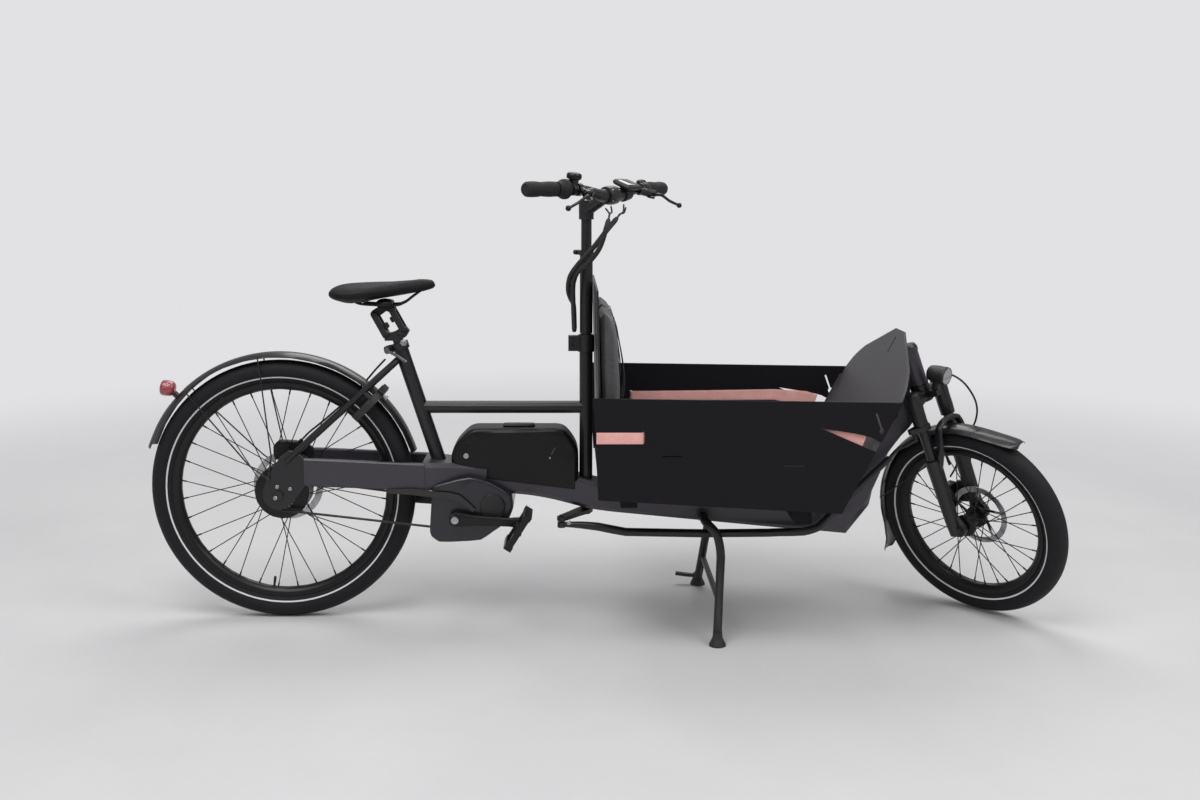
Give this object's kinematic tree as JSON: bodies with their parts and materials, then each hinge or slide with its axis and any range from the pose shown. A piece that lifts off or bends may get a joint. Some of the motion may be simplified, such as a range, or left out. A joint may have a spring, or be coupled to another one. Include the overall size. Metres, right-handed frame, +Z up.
{
  "type": "cargo bike",
  "caption": "Front-loading electric cargo bike with a low load box, child bench, linkage steering, sprung fork, belt drive, disc brakes and a two-legged stand.",
  "frame": {"origin": "middle of the bike's footprint, on the floor it stands on", "axes": "+X forward, +Y to the rider's left, +Z up"},
  "size_m": [2.2922, 0.6038, 1.1348],
  "materials": {
    "grey_paint": "satin dark grey",
    "black_paint": "satin black",
    "black_plastic": "fine grain",
    "panel": "smooth laminated sheet",
    "front_plate": "smooth laminated sheet, dark grey",
    "tyre": "black tread and sidewall",
    "rubber": "matt",
    "steel": "brushed",
    "alloy": "satin, dark anodised",
    "strap": "woven webbing, coral red",
    "pad": "woven, mid grey",
    "lens": "clear red in a black shell"
  },
  "bodies": {
    "frame": {"main_beam": "grey_paint", "front_riser": "grey_paint", "upper_frame": "black_paint", "rear_triangle": "black_paint", "motor_unit": "grey_paint", "belt_guard": "black_plastic", "drive_belt": "rubber", "seat_clamp": "black_paint", "rear_mudguard": "black_plastic", "rear_lamp": "lens", "ring_lock": "black_plastic", "rear_caliper": "black_paint", "rear_brake_hose": "rubber", "battery": "black_plastic", "right_panel": "panel", "left_panel": "panel", "cargo_floor": "panel", "front_panel": "front_plate", "right_strap": "strap", "left_strap": "strap", "seat_frame": "black_paint", "right_seat_pad": "pad", "left_seat_pad": "pad"},
    "column": {"steering_column": "black_paint", "stem": "black_paint", "handlebar": "black_paint", "right_grip": "rubber", "left_grip": "rubber", "display": "black_plastic", "cable_bundle": "rubber"},
    "twist_shifter": {"twist_shifter": "rubber"},
    "right_brake_lever": {"right_brake_lever": "alloy"},
    "left_brake_lever": {"left_brake_lever": "alloy"},
    "bell": {"bell": "alloy"},
    "fork": {"fork_upper": "black_paint", "front_lamp": "black_plastic"},
    "fork_lowers": {"fork_lowers": "black_paint", "front_mudguard": "black_plastic", "front_caliper": "black_paint", "front_brake_hose": "rubber"},
    "front_wheel": {"front_wheel": "black_paint", "front_tyre": "tyre", "front_rotor": "steel"},
    "rear_wheel": {"rear_wheel": "black_paint", "rear_tyre": "tyre", "rear_rotor": "steel"},
    "crankset": {"crankset": "black_paint"},
    "right_pedal": {"right_pedal": "black_plastic"},
    "left_pedal": {"left_pedal": "black_plastic"},
    "front_pulley": {"front_pulley": "alloy"},
    "rear_sprocket": {"rear_sprocket": "alloy"},
    "tie_rod": {"tie_rod": "black_paint"},
    "stand": {"stand": "alloy"},
    "seatpost": {"seatpost": "black_paint"},
    "front_post_link": {"front_post_link": "black_paint"},
    "rear_post_link": {"rear_post_link": "black_paint"},
    "saddle": {"saddle_carrier": "black_paint", "saddle": "black_plastic"},
    "quick_release": {"quick_release": "alloy"},
    "lock_bolt": {"lock_bolt": "steel"}
  },
  "joints": [
    {"name": "steering", "type": "hinge", "parent": "frame", "child": "column", "pos_m": [-0.0419, 0, 0.3345], "axis": [0, 0, 1], "range_deg": [0, 50]},
    {"name": "fork_steering", "type": "hinge", "parent": "frame", "child": "fork", "pos_m": [0.9379, 0, 0.24774], "axis": [-0.342, 0, 0.9397], "range_deg": [0, 70]},
    {"name": "fork_travel", "type": "slide", "parent": "fork", "child": "fork_lowers", "axis": [-0.342, 0, 0.9397], "range_m": [0, 0.03], "stiffness_N_per_m": 6000, "springref_m": -0.005},
    {"name": "front_wheel_spin", "type": "hinge", "parent": "fork_lowers", "child": "front_wheel", "pos_m": [0.9564, -0.02264, 0.25447], "axis": [0.7092, 0.6561, 0.2581], "continuous": true},
    {"name": "rear_wheel_spin", "type": "hinge", "parent": "frame", "child": "rear_wheel", "pos_m": [-0.8119, 0, 0.3345], "axis": [0, 1, 0], "continuous": true},
    {"name": "crank_spin", "type": "hinge", "parent": "frame", "child": "crankset", "pos_m": [-0.3699, 0, 0.279], "axis": [0, 1, 0], "continuous": true},
    {"name": "right_pedal_spin", "type": "hinge", "parent": "crankset", "child": "right_pedal", "pos_m": [-0.21012, -0.0955, 0.27063], "axis": [0, 1, 0], "continuous": true},
    {"name": "left_pedal_spin", "type": "hinge", "parent": "crankset", "child": "left_pedal", "pos_m": [-0.52968, 0.0955, 0.28737], "axis": [0, 1, 0], "continuous": true},
    {"name": "front_pulley_spin", "type": "hinge", "parent": "frame", "child": "front_pulley", "pos_m": [-0.3699, 0, 0.279], "axis": [0, 1, 0], "continuous": true},
    {"name": "rear_sprocket_spin", "type": "hinge", "parent": "frame", "child": "rear_sprocket", "pos_m": [-0.8119, 0, 0.3345], "axis": [0, 1, 0], "continuous": true},
    {"name": "tie_rod_turn", "type": "hinge", "parent": "column", "child": "tie_rod", "pos_m": [-0.10385, -0.08847, 0.2635], "axis": [0.0226, 0.033, 0.9992], "range_deg": [-50.95, 0]},
    {"name": "stand_fold", "type": "hinge", "parent": "frame", "child": "stand", "pos_m": [0.2561, 0, 0.2755], "axis": [0, 1, 0], "range_deg": [0, 82]},
    {"name": "right_brake", "type": "hinge", "parent": "column", "child": "right_brake_lever", "pos_m": [-0.04197, -0.18105, 1.08062], "axis": [0, 0, -1], "range_deg": [0, 12], "stiffness_Nm_per_rad": 0.6},
    {"name": "left_brake", "type": "hinge", "parent": "column", "child": "left_brake_lever", "pos_m": [0.12821, 0.06198, 1.08062], "axis": [0, 0, 1], "range_deg": [0, 12], "stiffness_Nm_per_rad": 0.6},
    {"name": "shifter_twist", "type": "hinge", "parent": "column", "child": "twist_shifter", "pos_m": [-0.10262, -0.19161, 1.09528], "axis": [-0.7197, -0.6943, 0.0009], "range_deg": [-90, 90]},
    {"name": "bell_turn", "type": "hinge", "parent": "column", "child": "bell", "pos_m": [-0.07698, -0.16656, 1.09507], "axis": [0.1215, -0.0851, 0.9889], "range_deg": [-25, 25], "stiffness_Nm_per_rad": 0.02},
    {"name": "seat_height", "type": "slide", "parent": "frame", "child": "seatpost", "axis": [-0.3024, 0, 0.9532], "range_m": [0, 0.12]},
    {"name": "front_link_swing", "type": "hinge", "parent": "seatpost", "child": "front_post_link", "pos_m": [-0.4979, 0, 0.7425], "axis": [0, -1, 0], "range_deg": [0, 35], "stiffness_Nm_per_rad": 40, "springref_deg": -5.73},
    {"name": "rear_link_swing", "type": "hinge", "parent": "seatpost", "child": "rear_post_link", "pos_m": [-0.5419, 0, 0.73], "axis": [0, -1, 0], "range_deg": [0, 35]},
    {"name": "saddle_level", "type": "hinge", "parent": "front_post_link", "child": "saddle", "pos_m": [-0.5269, 0, 0.7965], "axis": [0, -1, 0], "range_deg": [-35, 0]},
    {"name": "quick_release_lever", "type": "hinge", "parent": "frame", "child": "quick_release", "pos_m": [-0.53907, 0, 0.69444], "axis": [0, -1, 0], "range_deg": [0, 110]},
    {"name": "lock_bolt_slide", "type": "hinge", "parent": "frame", "child": "lock_bolt", "pos_m": [-0.59482, 0, 0.55158], "axis": [0.7071, 0, -0.7071], "range_deg": [0, 120]}
  ],
  "couplings": [
    {"joint": "fork_steering", "follows": "steering", "ratio": 1.4},
    {"joint": "tie_rod_turn", "follows": "steering", "ratio": -1.0189},
    {"joint": "front_pulley_spin", "follows": "crank_spin", "ratio": 2.5},
    {"joint": "rear_sprocket_spin", "follows": "crank_spin", "ratio": 2.2917},
    {"joint": "rear_link_swing", "follows": "front_link_swing", "ratio": 1},
    {"joint": "saddle_level", "follows": "front_link_swing", "ratio": -1}
  ]
}
